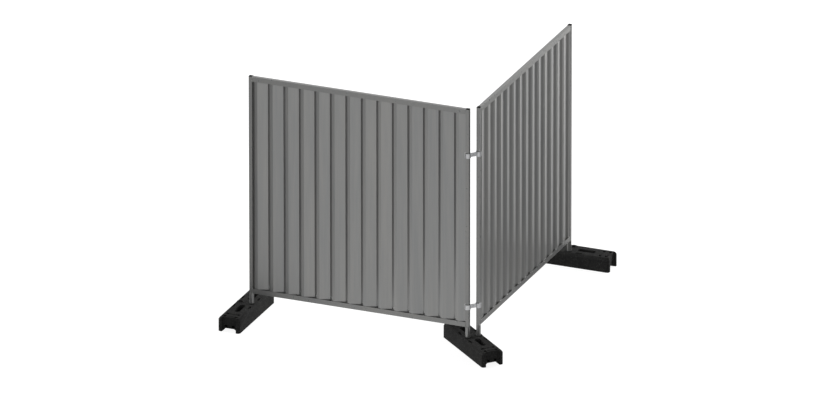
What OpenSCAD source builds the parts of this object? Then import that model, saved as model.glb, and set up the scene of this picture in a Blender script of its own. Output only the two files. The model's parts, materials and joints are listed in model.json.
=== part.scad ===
// Steel hoarding fence: two profiled-sheet bays that meet at a right-angled
// corner, joined by two couplers and standing on three moulded feet.
//
// Frame: +Z up, ground at Z = 0, origin under the middle of the corner foot.
// The front bay runs along -X with its outer face towards -Y, the side bay runs
// along +Y with its outer face towards +X.

/* [Bays] */
// Width of the front bay over its posts
front_w = 2130; // [1400:10:2600]
// Width of the side bay over its posts
side_w = 2200; // [1400:10:2600]
// Height of a bay from the underside of the bottom rail to the top of the top rail
bay_h = 2095; // [1400:5:2520]
// Clear height between the top of a foot and the bottom rail
leg_h = 103; // [60:5:160]

/* [Frame sections] */
// Side of the square post tube
post_w = 32; // [26:1:50]
// Wall of the post tube
post_wall = 2; // [1.5:0.5:4]
// Height of the flanges of a rail channel
rail_h = 46; // [35:1:60]
// Wall of the rail channel
rail_wall = 2; // [1.5:0.5:3]
// Diameter of the round spigot under a post
spigot_d = 42; // [34:0.5:52]
// Wall of the spigot tube
spigot_wall = 3; // [2:0.5:4]
// Thickness of the plate that closes the top of a spigot
spigot_plate = 5; // [3:1:8]
// Height of a post cap above its tube
cap_h = 2.5; // [1.5:0.5:6]

/* [Sheet] */
// Depth of a rib from its front crease to its back crease
rib_depth = 18.5; // [8:0.5:24]
// Width of the long gentle side of a rib
rib_fall = 96; // [60:1:120]
// Width of the steep side of a rib
rib_rise = 26; // [12:1:40]
// Width of the flat lip before the next front crease
rib_flat = 28; // [10:1:60]
// Depth of the lip between the steep side and the next front crease
rib_lip = 4.5; // [0:0.5:8]
// Place of the front bay's first front crease, from its left edge
front_rib = 82; // [40:1:140]
// Place of the side bay's first front crease, from its left edge
side_rib = 62; // [40:1:140]
// Thickness of the sheet
sheet_t = 0.7; // [0.5:0.1:1.2]

/* [Feet] */
// Length of a foot
foot_l = 815; // [680:5:1000]
// Width of a foot
foot_w = 212; // [176:1:260]
// Height of a foot
foot_h = 137; // [110:1:165]
// Distance between the two sockets of a foot
socket_gap = 107; // [88:1:130]
// Room between a spigot and its socket, across the diameter
socket_room = 2; // [1:0.5:4]
// Thickness of foot left under a socket
socket_floor = 45; // [35:1:60]
// Length of a hand slot
grip_l = 170; // [120:5:205]
// Width of a hand slot
grip_w = 54; // [34:1:66]
// Turn of the corner foot's length away from the front bay
foot_turn = 42; // [34:0.5:52]

/* [Couplers] */
// Height of the lower coupler above the bottom rail's underside
coupler_low = 191; // [120:1:400]
// Height of the upper coupler above the bottom rail's underside
coupler_high = 1650; // [1000:1:1800]
// Height of a coupler's jaw
jaw_h = 44; // [30:1:60]
// Height of a coupler's bridge
bridge_h = 34; // [20:1:40]
// Thickness of a coupler's steel
coupler_t = 3; // [2:0.5:5]
// Diameter of a coupler's bolt
bolt_d = 10; // [8:1:12]

/* [Hidden] */

$fn = 64;
eps = 0.01;             // overrun of a cutting shape
over = 1;               // overrun of a cut that leaves a foot
seat = 0.3;             // gap between pieces that are laid together
steel = [0.50, 0.50, 0.49];
zinc = [0.68, 0.69, 0.70];
black = [0.13, 0.13, 0.13];

// heights above ground
bay_z = foot_h + leg_h;

// places of the two corner posts, side by side in the corner foot
corner_x = socket_gap / 2 * sin(foot_turn);
corner_y = socket_gap / 2 * cos(foot_turn);

// sheet between the posts and behind the front flanges of the rails
sheet_left = post_w + seat;
sheet_front = rail_wall + seat;
sheet_foot = rail_wall + seat;
sheet_head = bay_h - rail_wall - seat;
rib_end = rib_fall + rib_rise;
rib_pitch = rib_end + rib_flat;
facet_min = 1;          // narrowest facet left beside an edge of the sheet

// cap
cap_over = 1;           // overhang of a cap past its tube
cap_plug = 18;          // length of the plug inside the tube
cap_corner = 3;         // radius of a cap's corners

// foot
socket_d = spigot_d + socket_room;
runner_w = 40;          // flat strip that each side wall stands on
arch_h = 28;            // height of the hollow under each end
arch_side = 10;         // height of the hollow's upright sides
arch_slope = 22;        // width of the hollow's sloping shoulder
arch_l = 150;           // reach of the hollow in from the end
cell_w = 28;            // width of each of the two cells in the end face
cell_l = 34;            // reach of a cell in from the end face
cell_rise = 6;          // thickness left between the hollow and a cell
cell_h = 26;            // height of a cell
foot_corner = 22;       // radius of the foot's upright corners
foot_shoulder = 24;     // fall of the eased top edges
foot_bend = [3, 8.4, 9.6];  // bend of an eased edge: in from the end and the side, below the top
foot_crown = [8, 19.2];     // rim of the flat top: in from the end, in from the side
end_recess = 24;        // depth of the recess in each end
end_wall = 38;          // width of the side walls beside an end recess
recess_corner = 10;     // radius of an end recess's corners
collar_w = 12;          // width of the raised collar round a socket
collar_h = 4;           // height of a collar above the foot
grip_end = 170;         // distance of a hand slot from the foot's end
grip_flat = 4;          // half of the straight part of a hand slot's end
grip_x = foot_l / 2 - grip_end - grip_l / 2;
groove_w = 10;          // width of a groove across the top
groove_d = 5;           // depth of a groove
groove_in = [46, 106];  // places of the grooves, from the foot's end
pocket_d = 24;          // depth of a pocket in the top
end_pocket = 28;        // side of the pocket at each end of a groove
edge_pocket = [62, 18]; // length and width of a pocket along the side
edge_pocket_x = 106;    // distance of an edge pocket from the foot's middle
edge_pocket_in = 29;    // distance of an edge pocket from the foot's side

// coupler
jaw_r = post_w / sqrt(2) + seat;
jaw_out = jaw_r + coupler_t;
bridge_gap = 4;         // half of the slit between the two halves
bridge_face = bridge_gap + coupler_t;
bolt_across = 1.7 * bolt_d;     // width across the flats of bolt head and nut
bolt_room = 1;          // room round a bolt in its coupler, across the diameter
bolt_head = 6.5;        // height of the bolt's head
nut_h = 8;              // height of the nut
nut_room = 0.2;         // room between a bolt and its nut, across the diameter
bolt_tail = 14;         // free length of a bolt past its nut
bolt_l = 2 * bridge_face + nut_h + bolt_tail;
notch_room = 2;         // room round a coupler where it passes the sheet
notch_l = jaw_out - post_w / 2 + notch_room;

// ---- shapes used by several pieces ----

// Plate with rounded corners, centred on X and Y.
module rounded_plate(l, w, r, h) {
    linear_extrude(height = h) {
        square([l - 2 * r, w], center = true);
        square([l, w - 2 * r], center = true);
        for (sx = [-1, 1], sy = [-1, 1])
            translate([sx * (l / 2 - r), sy * (w / 2 - r)]) circle(r);
    }
}

// Six-sided prism measured across its flats.
module hexagon(across, h) {
    cylinder(d = across / cos(30), h = h, $fn = 6);
}

// ---- one bay, seen from outside: X along it, Y back into it, Z from the rail's underside ----

module post(x) {
    color(steel) translate([x, 0, 0]) difference() {
        cube([post_w, post_w, bay_h]);
        translate([post_wall, post_wall, -eps])
            cube([post_w - 2 * post_wall, post_w - 2 * post_wall, bay_h + 2 * eps]);
    }
}

// Channel that opens upwards, between the posts.
module channel(bay_w) {
    translate([post_w, 0, 0]) difference() {
        cube([bay_w - 2 * post_w, post_w, rail_h]);
        translate([-eps, rail_wall, rail_wall])
            cube([bay_w, post_w - 2 * rail_wall, rail_h]);
    }
}

module bottom_rail(bay_w) {
    color(steel) channel(bay_w);
}

module top_rail(bay_w) {
    color(steel) translate([0, post_w, bay_h]) rotate([180, 0, 0]) channel(bay_w);
}

// Depth of the sheet's front skin at a distance x past a front crease.
function rib_depth_at(x) =
    x < rib_fall ? rib_depth * x / rib_fall :
    x < rib_end ? rib_depth - (rib_depth - rib_lip) * (x - rib_fall) / rib_rise :
    rib_lip * (rib_pitch - x) / (rib_pitch - rib_end);

// Distance of a place x from the front crease to its left.
function past_crease(x, rib_start) = x - rib_start - rib_pitch * floor((x - rib_start) / rib_pitch);

// Every crease of a sheet between two edges, from left to right.
function creases(from, to, rib_start) = [
    for (rib = [rib_start - 2 * rib_pitch:rib_pitch:to], part = [0, rib_fall, rib_end])
        if (rib + part > from + facet_min && rib + part < to - facet_min) rib + part
];

// Sheet of a bay whose first front crease is at rib_start. The edge beside the
// coupled post is notched where the couplers pass round it.
module sheet(bay_w, rib_start, coupled_edge) {
    sheet_right = bay_w - post_w - seat;
    fold_x = concat([sheet_left], creases(sheet_left, sheet_right, rib_start), [sheet_right]);
    skin = [for (x = fold_x) [x, sheet_front + rib_depth_at(past_crease(x, rib_start))]];
    back = [for (i = [len(skin) - 1:-1:0]) skin[i] + [0, sheet_t]];
    color(steel) difference() {
        translate([0, 0, sheet_foot])
            linear_extrude(height = sheet_head - sheet_foot) polygon(concat(skin, back));
        for (h = [coupler_low, coupler_high])
            translate([coupled_edge - notch_l, -eps, h - jaw_h / 2 - notch_room])
                cube([2 * notch_l, post_w, jaw_h + 2 * notch_room]);
    }
}

// Round leg under a post, closed by a plate at its top and open at its bottom.
module spigot(x) {
    drop = leg_h + foot_h - socket_floor;
    color(steel) translate([x + post_w / 2, post_w / 2, -drop]) difference() {
        cylinder(d = spigot_d, h = drop);
        translate([0, 0, -eps]) cylinder(d = spigot_d - 2 * spigot_wall, h = drop - spigot_plate + eps);
    }
}

// Cap with a plug that fills the mouth of the post.
module cap(x) {
    plug = post_w - 2 * post_wall - 2 * seat;
    color(black) translate([x + post_w / 2, post_w / 2, bay_h]) {
        rounded_plate(post_w + 2 * cap_over, post_w + 2 * cap_over, cap_corner, cap_h, $fn = 16);
        translate([-plug / 2, -plug / 2, -cap_plug]) cube([plug, plug, cap_plug + eps]);
    }
}

module in_front_bay() {
    translate([-corner_x + post_w / 2 - front_w, -corner_y - post_w / 2, bay_z]) children();
}

module in_side_bay() {
    translate([corner_x + post_w / 2, corner_y - post_w / 2, bay_z]) rotate([0, 0, 90]) children();
}

// ---- foot, lying along X, centred on the origin ----

module foot() {
    color(black) difference() {
        union() {
            foot_block($fn = 32);
            for (s = [-1, 1])
                translate([0, s * socket_gap / 2, socket_floor])
                    cylinder(d = socket_d + 2 * collar_w, h = foot_h + collar_h - socket_floor, $fn = 40);
        }
        for (s = [-1, 1]) {
            translate([0, s * socket_gap / 2, socket_floor]) cylinder(d = socket_d, h = foot_h);
            translate([s * grip_x, 0, -eps])
                rounded_plate(grip_l, grip_w, grip_w / 2 - grip_flat, foot_h + over, $fn = 32);
        }
        for (s = [0, 1]) mirror([s, 0, 0]) {
            end_shape();
            top_pockets();
        }
    }
}

// Thin level slice of the foot's block at height z, drawn in from its ends and sides.
module foot_slice(z, inset) {
    translate([0, 0, z])
        rounded_plate(foot_l - 2 * inset[0], foot_w - 2 * inset[1], foot_corner, eps);
}

// Block with upright corners rounded and top edges eased.
module foot_block() {
    rounded_plate(foot_l, foot_w, foot_corner, foot_h - foot_shoulder);
    hull() {
        foot_slice(foot_h - foot_shoulder - eps, [0, 0]);
        foot_slice(foot_h - foot_bend[2], foot_bend);
        foot_slice(foot_h - eps, foot_crown);
    }
}

// Room cut from one end: the upright recess between the side walls, the hollow
// between the runners and the two cells above it.
module end_shape() {
    recess_w = foot_w - 2 * end_wall;
    half = foot_w / 2 - runner_w;
    translate([foot_l / 2, 0, -eps])
        rounded_plate(2 * end_recess, recess_w, recess_corner, foot_h + over, $fn = 32);
    translate([foot_l / 2 - arch_l, 0, 0]) rotate([90, 0, 90]) linear_extrude(height = arch_l + over)
        polygon([
            [-half, -over], [half, -over], [half, arch_side], [half - arch_slope, arch_h],
            [arch_slope - half, arch_h], [-half, arch_side]
        ]);
    for (s = [-1, 1])
        translate([foot_l / 2 - end_recess - cell_l, s * recess_w / 4 - cell_w / 2, arch_h + cell_rise])
            cube([cell_l + over, cell_w, cell_h]);
}

// Pocket sunk into the foot's top, l along the foot and w across it.
module pocket(l, w) {
    translate([-l / 2, -w / 2, -pocket_d]) cube([l, w, pocket_d + over]);
}

// Grooves across the top of one end with a pocket at each end of them, and the
// pockets along the sides.
module top_pockets() {
    reach = foot_w / 2 - end_wall;
    for (x = groove_in) translate([foot_l / 2 - x, 0, foot_h]) {
        translate([-groove_w / 2, -reach, -groove_d]) cube([groove_w, 2 * reach, groove_d + over]);
        for (s = [-1, 1]) translate([0, s * (reach - end_pocket / 2), 0]) pocket(end_pocket, end_pocket);
    }
    for (s = [-1, 1])
        translate([edge_pocket_x, s * (foot_w / 2 - edge_pocket_in), foot_h])
            pocket(edge_pocket[0], edge_pocket[1]);
}

// ---- coupler, about the middle of the two corner posts, bridge along Y, outer side towards +X ----

module coupler_half() {
    reach = socket_gap / 2;
    bridge_l = 2 * (reach - jaw_out);
    color(zinc) difference() {
        translate([0, 0, -jaw_h / 2]) linear_extrude(height = jaw_h) difference() {
            union() {
                for (s = [-1, 1]) translate([0, s * reach]) circle(jaw_out);
                translate([bridge_gap, -reach]) square([coupler_t, 2 * reach]);
            }
            for (s = [-1, 1]) translate([0, s * reach]) circle(jaw_r);
            translate([bridge_gap - 2 * jaw_out, -2 * reach]) square([2 * jaw_out, 4 * reach]);
        }
        for (s = [0, 1]) mirror([0, 0, s])
            translate([0, -bridge_l / 2, bridge_h / 2]) cube([2 * jaw_out, bridge_l, jaw_h]);
        rotate([0, 90, 0]) cylinder(d = bolt_d + bolt_room, h = 2 * jaw_out);
    }
}

// Its counterpart on the inside of the corner.
module inner_half() {
    rotate([0, 0, 180]) coupler_half();
}

module coupler_bolt() {
    color(zinc) {
        translate([bridge_face, 0, 0]) rotate([0, 90, 0]) hexagon(bolt_across, bolt_head);
        translate([bridge_face - bolt_l, 0, 0]) rotate([0, 90, 0]) cylinder(d = bolt_d, h = bolt_l + eps);
    }
}

module coupler_nut() {
    color(zinc) translate([-bridge_face, 0, 0]) rotate([0, -90, 0]) difference() {
        hexagon(bolt_across, nut_h);
        translate([0, 0, -eps]) cylinder(d = bolt_d + nut_room, h = nut_h + 2 * eps);
    }
}

module at_coupler(height) {
    translate([0, 0, bay_z + height]) rotate([0, 0, -foot_turn]) children();
}

// ---- feet in place ----

module left_foot() {
    translate([-corner_x + post_w - front_w - socket_gap / 2, -corner_y, 0]) rotate([0, 0, 90]) foot();
}

module corner_foot() {
    rotate([0, 0, -foot_turn]) foot();
}

module far_foot() {
    translate([corner_x, corner_y - post_w + side_w + socket_gap / 2, 0]) foot();
}

// ---- nodes ----

in_front_bay() post(0);  // front_left_post
in_front_bay() post(front_w - post_w);  // front_right_post
in_front_bay() top_rail(front_w);  // front_top_rail
in_front_bay() bottom_rail(front_w);  // front_bottom_rail
in_front_bay() sheet(front_w, front_rib, front_w - post_w);  // front_sheet
in_front_bay() spigot(0);  // front_left_spigot
in_front_bay() spigot(front_w - post_w);  // front_right_spigot
in_front_bay() cap(0);  // front_left_cap
in_front_bay() cap(front_w - post_w);  // front_right_cap

in_side_bay() post(0);  // side_near_post
in_side_bay() post(side_w - post_w);  // side_far_post
in_side_bay() top_rail(side_w);  // side_top_rail
in_side_bay() bottom_rail(side_w);  // side_bottom_rail
in_side_bay() sheet(side_w, side_rib, post_w);  // side_sheet
in_side_bay() spigot(0);  // side_near_spigot
in_side_bay() spigot(side_w - post_w);  // side_far_spigot
in_side_bay() cap(0);  // side_near_cap
in_side_bay() cap(side_w - post_w);  // side_far_cap

left_foot();
corner_foot();
far_foot();

at_coupler(coupler_high) coupler_half();  // upper_coupler_outer
at_coupler(coupler_high) inner_half();  // upper_coupler_inner
at_coupler(coupler_high) coupler_bolt();  // upper_coupler_bolt
at_coupler(coupler_high) coupler_nut();  // upper_coupler_nut
at_coupler(coupler_low) coupler_half();  // lower_coupler_outer
at_coupler(coupler_low) inner_half();  // lower_coupler_inner
at_coupler(coupler_low) coupler_bolt();  // lower_coupler_bolt
at_coupler(coupler_low) coupler_nut();  // lower_coupler_nut
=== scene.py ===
# %% [markdown]
# # A steel hoarding corner
# Two bays of profiled steel sheet meet at a right angle. Each bay is a welded
# frame of square posts and channel rails, and its round spigots drop into the
# sockets of black moulded feet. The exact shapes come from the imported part.
# This lesson adds the finishes, the rivets, the welds, the screw threads, the
# light and the camera.

# %% Load the frame
import json
import math
import bpy
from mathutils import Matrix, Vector


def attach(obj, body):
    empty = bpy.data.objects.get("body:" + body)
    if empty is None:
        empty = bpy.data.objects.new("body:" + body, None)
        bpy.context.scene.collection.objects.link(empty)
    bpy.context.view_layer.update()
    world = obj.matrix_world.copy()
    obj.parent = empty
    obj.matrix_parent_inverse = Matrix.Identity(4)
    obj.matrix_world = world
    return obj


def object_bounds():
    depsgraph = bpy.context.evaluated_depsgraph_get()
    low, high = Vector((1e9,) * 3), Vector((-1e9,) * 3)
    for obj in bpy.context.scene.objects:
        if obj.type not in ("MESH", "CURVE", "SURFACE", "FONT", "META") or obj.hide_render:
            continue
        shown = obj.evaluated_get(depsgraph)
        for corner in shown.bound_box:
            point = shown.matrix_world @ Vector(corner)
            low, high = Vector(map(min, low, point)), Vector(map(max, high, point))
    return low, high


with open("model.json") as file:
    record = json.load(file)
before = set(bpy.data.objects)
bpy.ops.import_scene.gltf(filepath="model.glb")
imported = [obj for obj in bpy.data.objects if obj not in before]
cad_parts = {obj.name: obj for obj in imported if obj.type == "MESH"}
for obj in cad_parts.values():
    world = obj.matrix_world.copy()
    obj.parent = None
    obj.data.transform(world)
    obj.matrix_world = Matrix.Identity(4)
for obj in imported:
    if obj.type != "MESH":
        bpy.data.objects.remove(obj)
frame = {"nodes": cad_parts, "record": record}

cad_low, cad_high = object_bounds()
centre = (cad_low + cad_high) / 2
nodes = frame["nodes"]
print("CAD nodes:", len(nodes), "box from", tuple(cad_low), "to", tuple(cad_high))

# %% [markdown]
# ## Camera
# The fence is looked at from far away through a very long lens, so its upright
# edges stay parallel and the far bay hardly shrinks. A parallel camera would
# give nearly the same picture. A long lens is used because it keeps the slight
# narrowing of the far bay.

# %% Camera
VIEW_TURN = 22.40      # degrees to the right of straight on to the front bay
VIEW_RISE = 22.04      # degrees above the horizon
LENS = 800.0           # mm
SENSOR = 36.0          # mm
IMAGE_WIDE = 836       # width of the image
IMAGE_PER_METRE = 111.8    # how much of that width a metre at the aim takes up
NEAREST, FARTHEST = 1.0, 1000.0    # metres between which the camera sees
AIM_FROM_CENTRE = 0.343, -0.843, 0.15025    # metres from the middle of the fence's box
aim = centre + Vector(AIM_FROM_CENTRE)

def direction(turn_degrees, rise_degrees):
    """Unit vector from the fence to a place, turned from straight in front and raised."""
    turn, rise = math.radians(turn_degrees), math.radians(rise_degrees)
    return Vector((
        math.sin(turn) * math.cos(rise),
        -math.cos(turn) * math.cos(rise),
        math.sin(rise),
    ))

def place_looking(thing, target, back, away):
    """Put a lamp or camera at a distance from a target, looking at it."""
    thing.location = target + back * away
    thing.rotation_mode = "QUATERNION"
    thing.rotation_quaternion = (-back).to_track_quat("-Z", "Y")
    bpy.context.scene.collection.objects.link(thing)

camera_data = bpy.data.cameras.new("camera")
camera_data.lens, camera_data.sensor_width = LENS, SENSOR
camera_data.clip_start, camera_data.clip_end = NEAREST, FARTHEST
camera = bpy.data.objects.new("camera", camera_data)
camera_away = LENS / SENSOR * IMAGE_WIDE / IMAGE_PER_METRE
place_looking(camera, aim, direction(VIEW_TURN, VIEW_RISE), camera_away)
bpy.context.scene.camera = camera
bpy.context.scene.view_settings.view_transform = "Standard"
print("camera is", round(camera_away, 1), "m from its aim")

# %% [markdown]
# ## Small helpers for shader trees
# A material is a tree of nodes. The same three steps come back for each one:
# make a node, set its sockets, link it. Short helpers keep every finish below
# down to the lines that matter.

# %% Shader helpers
def new_material(name):
    material = bpy.data.materials.new(name)
    material.use_nodes = True
    material.node_tree.nodes.clear()
    return material, material.node_tree

def node(tree, kind, sockets=None, **settings):
    """Make a node, set its properties, then set or link its inputs."""
    made = tree.nodes.new(kind)
    for name, value in settings.items():
        setattr(made, name, value)
    for name, value in (sockets or {}).items():
        if isinstance(value, bpy.types.NodeSocket):
            tree.links.new(value, made.inputs[name])
        else:
            made.inputs[name].default_value = value
    return made

def ramp(tree, factor, stops):
    """A ramp of greys through (place, grey level) stops."""
    made = node(tree, "ShaderNodeValToRGB", {0: factor})
    while len(made.color_ramp.elements) < len(stops):
        made.color_ramp.elements.new(1.0)
    for element, (place, level) in zip(made.color_ramp.elements, stops):
        element.position = place
        element.color = (level, level, level, 1)
    return made.outputs["Color"]

def maths(tree, operation, a, b):
    return node(tree, "ShaderNodeMath", {0: a, 1: b}, operation=operation).outputs[0]

# %% [markdown]
# ## Floor
# The fence stands on a plain white floor. To the camera the floor glows at
# nearly full white, and a matt part on top takes the soft shadow of the feet.
# Steel mirrors the floor too. In a plain white floor the faces of the front
# sheet would look nearly alike, so what the steel mirrors is a glow graded by
# the direction in which the floor lies. The matt part is hidden from mirrored
# rays, because it would lie over the grading like a veil and pale the creases.

# %% Floor
FLOOR_HALF = 60.0      # half the side of the floor, in metres
CAMERA_GLOW = 0.90     # how brightly the floor glows for the camera
FLOOR_COLOUR = 0.28    # grey of its matt part
WHITE = (1, 1, 1, 1)
BRIGHT, HALF, DIM, DARK = 1.0, 0.4, 0.1, 0.0
# The floor that metal shows, by degrees round the fence's middle to the right of
# straight in front: bright in front, dark on the left, half bright on the right,
# dim at the back on the right and bright beyond the far end of the side bay
FLOOR_LEVELS = [
    (-180, HALF), (-90, DIM), (-60, DARK), (-20, BRIGHT), (50, BRIGHT),
    (75, HALF), (100, HALF), (135, DIM), (160, BRIGHT), (180, BRIGHT),
]

floor_mesh = bpy.data.meshes.new("floor")
corners = [(-1, -1), (1, -1), (1, 1), (-1, 1)]
floor_points = [(x * FLOOR_HALF, y * FLOOR_HALF, 0) for x, y in corners]
floor_mesh.from_pydata(floor_points, [], [(0, 1, 2, 3)])
floor = bpy.data.objects.new("floor", floor_mesh)
bpy.context.scene.collection.objects.link(floor)

def studio_angle(tree, vector):
    """0 to 1 for the angle round the fence, from straight behind it, by its left, and back."""
    parts = node(tree, "ShaderNodeSeparateXYZ", {0: vector})
    aside = maths(tree, "SUBTRACT", parts.outputs["X"], centre.x)
    in_front = maths(tree, "SUBTRACT", centre.y, parts.outputs["Y"])
    angle = maths(tree, "ARCTAN2", aside, in_front)
    return maths(tree, "ADD", maths(tree, "DIVIDE", angle, 2 * math.pi), 0.5)

floor_material, tree = new_material("white floor")
ray = node(tree, "ShaderNodeLightPath").outputs
place = node(tree, "ShaderNodeTexCoord").outputs["Object"]
stops = [((angle + 180) / 360, level) for angle, level in FLOOR_LEVELS]
graded = ramp(tree, studio_angle(tree, place), stops)
mirrored = maths(tree, "MAXIMUM", ray["Is Glossy Ray"], ray["Is Transmission Ray"])
to_camera = maths(tree, "MULTIPLY", ray["Is Camera Ray"], CAMERA_GLOW)
glow_level = maths(tree, "ADD", to_camera, maths(tree, "MULTIPLY", mirrored, graded))
glow = node(tree, "ShaderNodeEmission", {"Color": WHITE, "Strength": glow_level})
floor_grey = maths(tree, "MULTIPLY", maths(tree, "SUBTRACT", 1.0, mirrored), FLOOR_COLOUR)
matt = node(tree, "ShaderNodeBsdfDiffuse", {"Color": floor_grey})
both = node(tree, "ShaderNodeAddShader", {0: glow.outputs[0], 1: matt.outputs[0]})
node(tree, "ShaderNodeOutputMaterial", {"Surface": both.outputs[0]})
floor.data.materials.append(floor_material)
print("floor is", 2 * FLOOR_HALF, "m square")

# %% [markdown]
# ## Surround
# A pale surround gives the even light of a studio tent. It is white where the
# camera or a mirror looks at it. As a source of light it is darker, so that the
# lamps can still model the shapes. Most of its light comes from the sides, so
# that the tops of the feet stay darker than their walls.

# %% Surround
SIDE_LIGHT = 0.68      # strength of the surround's light at the horizon
TOP_LIGHT = 0.14       # and straight above

world = bpy.data.worlds.new("surround")
bpy.context.scene.world = world
world.use_nodes = True
tree = world.node_tree
tree.nodes.clear()
ray = node(tree, "ShaderNodeLightPath").outputs
shown = maths(tree, "MAXIMUM", ray["Is Camera Ray"], ray["Is Glossy Ray"])
shown = maths(tree, "MAXIMUM", shown, ray["Is Transmission Ray"])
towards = node(tree, "ShaderNodeTexCoord").outputs["Generated"]
height = node(tree, "ShaderNodeSeparateXYZ", {0: towards}).outputs["Z"]
loss = maths(tree, "MULTIPLY", height, SIDE_LIGHT - TOP_LIGHT)
level = maths(tree, "SUBTRACT", SIDE_LIGHT, loss)
lit = node(tree, "ShaderNodeBackground", {"Color": WHITE, "Strength": level}).outputs[0]
plain = node(tree, "ShaderNodeBackground", {"Color": WHITE, "Strength": 1.0}).outputs[0]
either = node(tree, "ShaderNodeMixShader", {"Fac": shown, 1: lit, 2: plain})
node(tree, "ShaderNodeOutputWorld", {"Surface": either.outputs[0]})
print("surround gives", SIDE_LIGHT, "from the sides and", TOP_LIGHT, "from above")

# %% [markdown]
# ## Lamps
# One large lamp stands low on the left and picks out the long sides of the
# feet. A second one stands behind the side bay, on its outer side, and lifts the
# ribs there. Smaller or nearer lamps would draw hard lines on the satin coat.

# %% Lamps
LAMP_AWAY = 12.0
LAMP_SIZE = 5.0

def soft_lamp(name, turn_degrees, rise_degrees, power):
    """A round lamp that looks at the fence's middle."""
    data = bpy.data.lights.new(name, "AREA")
    data.shape, data.size, data.energy = "DISK", LAMP_SIZE, power
    lamp = bpy.data.objects.new(name, data)
    place_looking(lamp, centre, direction(turn_degrees, rise_degrees), LAMP_AWAY)
    print(name, "of", power, "W at", turn_degrees, "degrees")

soft_lamp("left lamp", turn_degrees=-86, rise_degrees=9, power=1200)
soft_lamp("back lamp", turn_degrees=150, rise_degrees=9, power=1650)

# %% [markdown]
# ## Finishes
# A hoarding frame is sprayed or dipped grey and then lives outdoors, so its
# coat is satin, slightly mottled and a little uneven. The sheet is coated as a
# coil before it is profiled, and the rollers leave long faint streaks along the
# ribs. The couplers are bright zinc. The feet are pressed from granules of
# recycled plastic and rubber, which show as specks in a dull black surface.
# Pictures wrapped round the shapes could give the same looks. Noise in object
# coordinates is used instead, so nothing stretches, repeats or needs unwrapping.

# %% Texture helpers
NOISE_ROUGHNESS = 0.55

def object_place(tree, stretch=(1, 1, 1)):
    """Object coordinates in metres, drawn out where the stretch is small."""
    coordinate = node(tree, "ShaderNodeTexCoord").outputs["Object"]
    mapped = node(tree, "ShaderNodeMapping", {"Vector": coordinate, "Scale": stretch})
    return mapped.outputs["Vector"]

def noise(tree, place, scale, detail=3):
    """Noise with so many waves to a metre, and so many finer layers."""
    sockets = {
        "Vector": place, "Scale": scale, "Detail": detail, "Roughness": NOISE_ROUGHNESS,
    }
    return node(tree, "ShaderNodeTexNoise", sockets).outputs["Fac"]

def cells(tree, place, scale):
    """Voronoi cells: a level for each cell, and the distance from its middle."""
    texture = node(tree, "ShaderNodeTexVoronoi", {"Vector": place, "Scale": scale})
    level = node(tree, "ShaderNodeSeparateColor", {0: texture.outputs["Color"]}).outputs[0]
    return level, texture.outputs["Distance"]

def spread(tree, factor, low, high, start=0.3, end=0.7):
    """Stretch the useful middle of a noise to a range of values."""
    sockets = {
        "Value": factor, "From Min": start, "From Max": end, "To Min": low, "To Max": high,
    }
    return node(tree, "ShaderNodeMapRange", sockets).outputs["Result"]

def blend(tree, factor, a, b):
    """Mix two colours."""
    return node(tree, "ShaderNodeMix", {0: factor, 6: a, 7: b}, data_type="RGBA").outputs[2]

def raised(tree, height, distance, strength=1.0, under=None):
    """Bump of a depth in metres, laid over another one where that is given."""
    sockets = {"Height": height, "Distance": distance, "Strength": strength}
    if under is not None:
        sockets["Normal"] = under
    return node(tree, "ShaderNodeBump", sockets).outputs["Normal"]

def finish(tree, sockets):
    shader = node(tree, "ShaderNodeBsdfPrincipled", sockets)
    node(tree, "ShaderNodeOutputMaterial", {"Surface": shader.outputs[0]})

# %% [markdown]
# ### Coated steel
# Frame, sheet and welds share one recipe. Soft clouds and finer streaks vary
# the grey and the gloss by a few per cent. A fine bump gives the skin of a
# sprayed coat, and a very shallow one follows the clouds. For the sheet the same
# noise is drawn out along Z, so that the clouds become streaks up the ribs. On
# the welds the bump is coarser, because the coat lies over ripples and spatter.

# %% Coated steel
FRAME_GREYS = (0.228, 0.231, 0.232, 1), (0.262, 0.260, 0.250, 1)
SHEET_GREYS = (0.268, 0.272, 0.272, 1), (0.314, 0.311, 0.303, 1)
STEEL_METALLIC = 0.65
CLOUDS_PER_METRE = 3.0
STREAKS_PER_METRE = 34.0
SWELL = {"distance": 0.0005, "strength": 0.3}
EVEN = (1, 1, 1)
UP_THE_RIBS = (1, 1, 0.05)

def coated_steel(name, greys, stretch, gloss, skin_scale, skin_depth):
    """Satin grey coat: darkest and lightest grey, least and greatest roughness, and its skin."""
    material, tree = new_material(name)
    drawn, even = object_place(tree, stretch), object_place(tree)
    clouds = noise(tree, drawn, CLOUDS_PER_METRE, detail=4)
    streaks = noise(tree, drawn, STREAKS_PER_METRE)
    both = maths(tree, "MULTIPLY", maths(tree, "ADD", clouds, streaks), 0.5)
    tone = spread(tree, both, 0, 1, start=0.36, end=0.64)
    skin = raised(tree, noise(tree, even, skin_scale, detail=2), skin_depth)
    finish(tree, {
        "Base Color": blend(tree, tone, *greys),
        "Metallic": STEEL_METALLIC,
        "Roughness": spread(tree, streaks, *gloss),
        "Normal": raised(tree, clouds, **SWELL, under=skin),
    })
    return material
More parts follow.
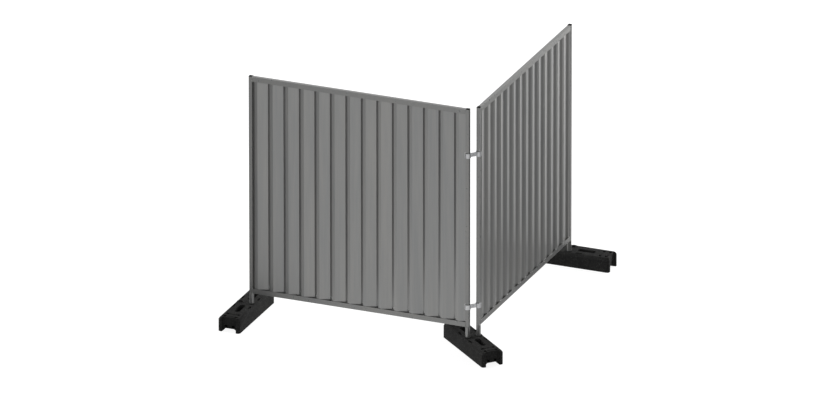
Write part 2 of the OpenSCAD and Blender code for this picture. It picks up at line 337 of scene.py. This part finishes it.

# %% [markdown]
# ### Zinc, cap and moulded black
# Bright zinc is a metal with small crystals that each turn the light a little,
# so cells shift its grey, and a soft haze varies its gloss. The post caps are
# injection-moulded and have a fine even grain. The feet start from larger cells:
# most of them are black, a few are grey granules, and the gaps between them are
# pits. Dust stays in soft patches on top of that.

# %% Zinc, cap and moulded black
ZINC_GREYS = (0.44, 0.45, 0.47, 1), (0.60, 0.60, 0.60, 1)
ZINC_METALLIC = 0.9
CAP_GREYS = (0.006, 0.006, 0.006, 1), (0.014, 0.014, 0.0135, 1)
BLACK_GREYS = (0.024, 0.024, 0.024, 1), (0.044, 0.044, 0.0435, 1)
GRANULE = (0.085, 0.085, 0.083, 1)
DUST = (0.068, 0.066, 0.063, 1)
BLACK_SPECULAR = 0.01
CRYSTALS_PER_METRE = 420.0
GRANULES_PER_METRE = 260.0
GREY_SHARE = 0.90, 0.94      # levels of a cell from which it is a grey granule
DUSTIEST = 0.35              # how much of the black the dust hides at most

def zinc_plate(name):
    """Bright zinc with crystals that each have their own grey."""
    material, tree = new_material(name)
    place = object_place(tree)
    crystal, _ = cells(tree, place, CRYSTALS_PER_METRE)
    haze = noise(tree, place, scale=60.0, detail=4)
    grain = noise(tree, place, scale=700.0, detail=2)
    finish(tree, {
        "Base Color": blend(tree, crystal, *ZINC_GREYS),
        "Metallic": ZINC_METALLIC,
        "Roughness": spread(tree, haze, low=0.28, high=0.46),
        "Normal": raised(tree, grain, distance=0.0002),
    })
    return material

def cap_black(name):
    """Black plastic with a fine grain and faint wear."""
    material, tree = new_material(name)
    place = object_place(tree)
    grain = noise(tree, place, scale=900.0, detail=2)
    wear = noise(tree, place, scale=40.0, detail=4)
    finish(tree, {
        "Base Color": blend(tree, spread(tree, wear, 0, 1), *CAP_GREYS),
        "Roughness": spread(tree, wear, low=0.55, high=0.75),
        "Specular IOR Level": BLACK_SPECULAR,
        "Normal": raised(tree, grain, distance=0.0003),
    })
    return material

def moulded_black(name):
    """Pressed granules with pits between them and patches of dust."""
    material, tree = new_material(name)
    place = object_place(tree)
    level, from_middle = cells(tree, place, GRANULES_PER_METRE)
    granule = spread(tree, level, 0, 1, *GREY_SHARE)
    clouds = noise(tree, place, scale=7.0, detail=5)
    dust = spread(tree, clouds, 0, DUSTIEST, start=0.45, end=0.75)
    black = blend(tree, level, *BLACK_GREYS)
    specked = blend(tree, granule, black, GRANULE)
    pits = raised(tree, from_middle, distance=0.0006, strength=0.7)
    lumps = noise(tree, place, scale=90.0, detail=4)
    finish(tree, {
        "Base Color": blend(tree, dust, specked, DUST),
        "Roughness": spread(tree, clouds, low=0.72, high=0.92),
        "Specular IOR Level": BLACK_SPECULAR,
        "Normal": raised(tree, lumps, distance=0.0012, strength=0.6, under=pits),
    })
    return material

finishes = {
    "frame_steel": coated_steel(
        "frame steel", FRAME_GREYS, EVEN,
        gloss=(0.27, 0.36), skin_scale=320.0, skin_depth=0.00010,
    ),
    "sheet_steel": coated_steel(
        "sheet steel", SHEET_GREYS, UP_THE_RIBS,
        gloss=(0.30, 0.33), skin_scale=260.0, skin_depth=0.00008,
    ),
    "zinc_plate": zinc_plate("zinc plate"),
    "moulded_black": moulded_black("moulded black"),
    "cap_black": cap_black("cap black"),
}
weld_skin = coated_steel(
    "weld skin", FRAME_GREYS, EVEN,
    gloss=(0.34, 0.50), skin_scale=900.0, skin_depth=0.00025,
)
slot_of = {part["node"]: part["material_slot"] for part in frame["record"]["subparts"]}
for name, obj in nodes.items():
    obj.data.materials.clear()
    obj.data.materials.append(finishes[slot_of[name]])
print("finishes:", ", ".join(sorted(finishes)))

# %% [markdown]
# ## Geometry Nodes helpers
# Rivets, weld beads and threads repeat one small shape many times. Each could
# be copied in a loop. A Geometry Nodes tree does it here, because the tree says
# the rule once: where the shape goes, how it is turned and how much it varies.
# Its result is turned into a plain mesh straight away, so nothing is left to
# recompute.

# %% Geometry Nodes helpers
def new_tree(name, inputs):
    """A tree with a geometry input and named number or vector inputs."""
    tree = bpy.data.node_groups.new(name, "GeometryNodeTree")
    tree.interface.new_socket("Geometry", in_out="INPUT", socket_type="NodeSocketGeometry")
    kinds = {float: "NodeSocketFloat", tuple: "NodeSocketVector"}
    for label, value in inputs.items():
        kind = kinds[type(value)]
        socket = tree.interface.new_socket(label, in_out="INPUT", socket_type=kind)
        socket.default_value = value
    tree.interface.new_socket("Geometry", in_out="OUTPUT", socket_type="NodeSocketGeometry")
    return tree, node(tree, "NodeGroupInput").outputs

def end_tree(tree, instances, material):
    """Realize the instances, give them their finish and send them out."""
    real = node(tree, "GeometryNodeRealizeInstances", {0: instances}).outputs[0]
    dressed = node(tree, "GeometryNodeSetMaterial", {"Geometry": real, "Material": material})
    node(tree, "NodeGroupOutput", {0: dressed.outputs[0]})

def random_scale(tree, least, greatest, seed):
    sockets = {"Min": (least,) * 3, "Max": (greatest,) * 3, "Seed": seed}
    return node(tree, "FunctionNodeRandomValue", sockets, data_type="FLOAT_VECTOR").outputs[0]

def smooth(tree, geometry):
    return node(tree, "GeometryNodeSetShadeSmooth", {"Geometry": geometry}).outputs[0]

def make_piece(name, points, edges, tree, inputs):
    """Run a tree over some points and edges, and keep the result as a plain mesh on the fence."""
    mesh = bpy.data.meshes.new(name)
    mesh.from_pydata(points, edges, [])
    piece = bpy.data.objects.new(name, mesh)
    bpy.context.scene.collection.objects.link(piece)
    modifier = piece.modifiers.new("copies", "NODES")
    modifier.node_group = tree
    for socket in tree.interface.items_tree:
        if socket.in_out == "INPUT" and socket.name in inputs:
            modifier[socket.identifier] = inputs[socket.name]
    evaluated = piece.evaluated_get(bpy.context.evaluated_depsgraph_get())
    made = bpy.data.meshes.new_from_object(evaluated)
    piece.modifiers.remove(modifier)
    piece.data = made
    made.name = name
    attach(piece, "root")
    print(name + ":", len(made.polygons), "faces from", len(points), "points")

def corners_of(name):
    """Least and greatest corner of a CAD node."""
    spots = [nodes[name].matrix_world @ vertex.co for vertex in nodes[name].data.vertices]
    low = Vector([min(spot[axis] for spot in spots) for axis in range(3)])
    high = Vector([max(spot[axis] for spot in spots) for axis in range(3)])
    return low, high

BAYS = {
    "front": {"across": 0, "outward": 1, "sign": -1, "posts": ("left", "right")},
    "side": {"across": 1, "outward": 0, "sign": 1, "posts": ("near", "far")},
}

# %% [markdown]
# ## Rivets
# The profiled sheet is held to its frame by blind rivets. They go through the
# flange of the rail and the front crease of each rib, where the two metals
# touch. A blind rivet shows a low dome on a thin flange, with the stub of its
# broken pin in the middle. It could be a lathe profile. A flattened sphere, a
# disc and a stub are enough at this size and keep it to a few dozen faces. The
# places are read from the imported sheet, so the rivets follow its ribs.

# %% Rivets
RIVET_RADIUS = 0.0036       # metres, as all sizes of the pieces
RIVET_DOME = 0.40           # height of the dome as a share of its radius
FLANGE_SHARE = 1.30         # radius of the flange as a share of the dome's
FLANGE_THICKNESS = 0.0012   # half of it lies in the rail
STUB_RADIUS = 0.0010
STUB_LENGTH = 0.0036        # half of it stands out
RIVET_SIZES = 0.95, 1.05    # least and greatest size of a rivet, as a share
RIVET_SEED = 7
CREASE_REACH = 0.0002       # how near the front plane a crease has to be
RIVET_EDGE = 0.015          # least distance of a rivet from the end of its rail

tree, given = new_tree("rivets", {"Radius": RIVET_RADIUS, "Facing": (0.0, 0.0, 0.0)})
ball = node(tree, "GeometryNodeMeshUVSphere", {
    "Segments": 10, "Rings": 5, "Radius": given["Radius"],
}).outputs[0]
dome = node(tree, "GeometryNodeTransform", {
    "Geometry": smooth(tree, ball), "Scale": (1, 1, RIVET_DOME),
}).outputs[0]
flange_radius = maths(tree, "MULTIPLY", given["Radius"], FLANGE_SHARE)
flange = node(tree, "GeometryNodeMeshCylinder", {
    "Vertices": 14, "Radius": flange_radius, "Depth": FLANGE_THICKNESS,
}).outputs["Mesh"]
stub = node(tree, "GeometryNodeMeshCylinder", {
    "Vertices": 7, "Radius": STUB_RADIUS, "Depth": STUB_LENGTH,
}).outputs["Mesh"]
head = node(tree, "GeometryNodeJoinGeometry").inputs[0]
for part in (stub, flange, dome):
    tree.links.new(part, head)
copies = node(tree, "GeometryNodeInstanceOnPoints", {
    "Points": given["Geometry"], "Instance": head.node.outputs[0],
    "Rotation": given["Facing"], "Scale": random_scale(tree, *RIVET_SIZES, RIVET_SEED),
}).outputs[0]
end_tree(tree, copies, finishes["frame_steel"])

for bay, ways in BAYS.items():
    across, outward, sign = ways["across"], ways["outward"], ways["sign"]
    sheet = nodes[bay + "_sheet"]
    spots = [sheet.matrix_world @ vertex.co for vertex in sheet.data.vertices]
    front = max(sign * spot[outward] for spot in spots)
    on_front = [spot[across] for spot in spots if front - sign * spot[outward] < CREASE_REACH]
    creases = sorted({round(place, 4) for place in on_front})
    points = []
    for rail in ("top", "bottom"):
        low, high = corners_of(bay + "_" + rail + "_rail")
        for crease in creases:
            if not low[across] + RIVET_EDGE < crease < high[across] - RIVET_EDGE:
                continue
            point = Vector((0, 0, (low.z + high.z) / 2))
            point[across] = crease
            point[outward] = sign * max(sign * low[outward], sign * high[outward])
            points.append(point)
    facing = (math.pi / 2, 0.0, 0.0 if bay == "front" else math.pi / 2)
    make_piece(bay + "_bay_rivets", points, [], tree, {"Facing": facing})
    print("front creases of the", bay, "sheet:", len(creases))

# %% [markdown]
# ## Weld beads
# The rails are welded to the posts round their channel section, and each post
# is welded to the closed top of its spigot. A bead is a row of small overlapping
# puddles of metal. It could be a swept tube with ripples. Here each seam is a
# line, puddles are laid along it at even steps, and their size varies a little,
# which is how a hand-made weld looks.

# %% Weld beads
BEAD_RADIUS = 0.0021
BEAD_STEP = 0.0015          # distance from one puddle to the next
BEAD_SIZES = 0.82, 1.15     # least and greatest size of a puddle, as a share
BEAD_SEED = 23
SPIGOT_SEAM = 0.011         # half length of the seam on each side of a post's foot

tree, given = new_tree("weld beads", {"Radius": BEAD_RADIUS, "Step": BEAD_STEP})
seam = node(tree, "GeometryNodeMeshToCurve", {"Mesh": given["Geometry"]}).outputs[0]
sockets = {"Curve": seam, "Length": given["Step"]}
steps = node(tree, "GeometryNodeResampleCurve", sockets, mode="LENGTH").outputs[0]
puddle = node(tree, "GeometryNodeMeshUVSphere", {
    "Segments": 8, "Rings": 5, "Radius": given["Radius"],
}).outputs[0]
copies = node(tree, "GeometryNodeInstanceOnPoints", {
    "Points": steps, "Instance": smooth(tree, puddle),
    "Scale": random_scale(tree, *BEAD_SIZES, BEAD_SEED),
}).outputs[0]
end_tree(tree, copies, weld_skin)

def add_seam(points, edges, path):
    first = len(points)
    points.extend(path)
    edges.extend((first + step, first + step + 1) for step in range(len(path) - 1))

for bay, ways in BAYS.items():
    across, outward = ways["across"], ways["outward"]
    points, edges = [], []
    for rail in ("top", "bottom"):
        low, high = corners_of(bay + "_" + rail + "_rail")
        web, lip = (high.z, low.z) if rail == "top" else (low.z, high.z)
        for end in (low[across], high[across]):
            path = []
            for side, height in ((low, lip), (low, web), (high, web), (high, lip)):
                point = Vector((0, 0, height))
                point[across], point[outward] = end, side[outward]
                path.append(point)
            add_seam(points, edges, path)
    for side in ways["posts"]:
        low, high = corners_of(bay + "_" + side + "_post")
        middle, half = (low + high) / 2, (high.x - low.x) / 2
        for turn in range(4):
            out = Vector((math.cos(turn * math.pi / 2), math.sin(turn * math.pi / 2), 0))
            along = Vector((-out.y, out.x, 0)) * SPIGOT_SEAM
            foot_of_post = Vector((middle.x, middle.y, low.z)) + out * half
            add_seam(points, edges, [foot_of_post - along, foot_of_post + along])
    make_piece(bay + "_bay_welds", points, edges, tree, {"Radius": BEAD_RADIUS})

# %% [markdown]
# ## Bolt threads
# The bolt of each coupler is threaded, and its free end sticks out past the
# nut inside the corner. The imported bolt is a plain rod. The thread is a
# triangular ridge wound along it. It could be rings side by side, but a real
# thread climbs, so a spiral curve carries the ridge here.

# %% Bolt threads
ROD_RADIUS = 0.005
THREAD_PITCH = 0.0015
THREAD_RIDGE = 0.0006       # radius of the ridge's three-sided section
THREAD_MARGIN = 0.0008      # plain rod left at each end of the thread

def reach_along(name, way):
    """Greatest distance of a CAD node along a direction."""
    place = nodes[name].matrix_world
    return max((place @ vertex.co).dot(way) for vertex in nodes[name].data.vertices)

outer_low, outer_high = corners_of("upper_coupler_outer")
nut_low, nut_high = corners_of("upper_coupler_nut")
inward = (nut_low + nut_high) / 2 - (outer_low + outer_high) / 2
inward.z = 0
inward.normalize()
nut_face = reach_along("upper_coupler_nut", inward)
rod_end = reach_along("upper_coupler_bolt", inward)
sideways = Vector((-inward.y, inward.x, 0))
bolt_line = ((nut_low + nut_high) / 2).dot(sideways)
thread_length = rod_end - nut_face - 2 * THREAD_MARGIN

tree, given = new_tree("thread", {
    "Length": thread_length, "Radius": ROD_RADIUS, "Pitch": THREAD_PITCH,
    "Facing": (0.0, 0.0, 0.0),
})
turns = maths(tree, "DIVIDE", given["Length"], given["Pitch"])
wound = node(tree, "GeometryNodeCurveSpiral", {
    "Resolution": 14, "Rotations": turns, "Start Radius": given["Radius"],
    "End Radius": given["Radius"], "Height": given["Length"],
}).outputs[0]
ridge = node(tree, "GeometryNodeCurvePrimitiveCircle", {
    "Resolution": 3, "Radius": THREAD_RIDGE,
}).outputs[0]
sockets = {"Curve": wound, "Profile Curve": ridge, "Fill Caps": True}
swept = node(tree, "GeometryNodeCurveToMesh", sockets).outputs[0]
copies = node(tree, "GeometryNodeInstanceOnPoints", {
    "Points": given["Geometry"], "Instance": swept, "Rotation": given["Facing"],
}).outputs[0]
end_tree(tree, copies, finishes["zinc_plate"])

points = []
for coupler in ("upper", "lower"):
    low, high = corners_of(coupler + "_coupler_nut")
    up = Vector((0, 0, (low.z + high.z) / 2))
    points.append(inward * (nut_face + THREAD_MARGIN) + sideways * bolt_line + up)
facing = tuple(inward.to_track_quat("Z", "Y").to_euler())
make_piece("bolt_threads", points, [], tree, {"Facing": facing})
print("free thread:", round(thread_length * 1000, 1), "mm long")
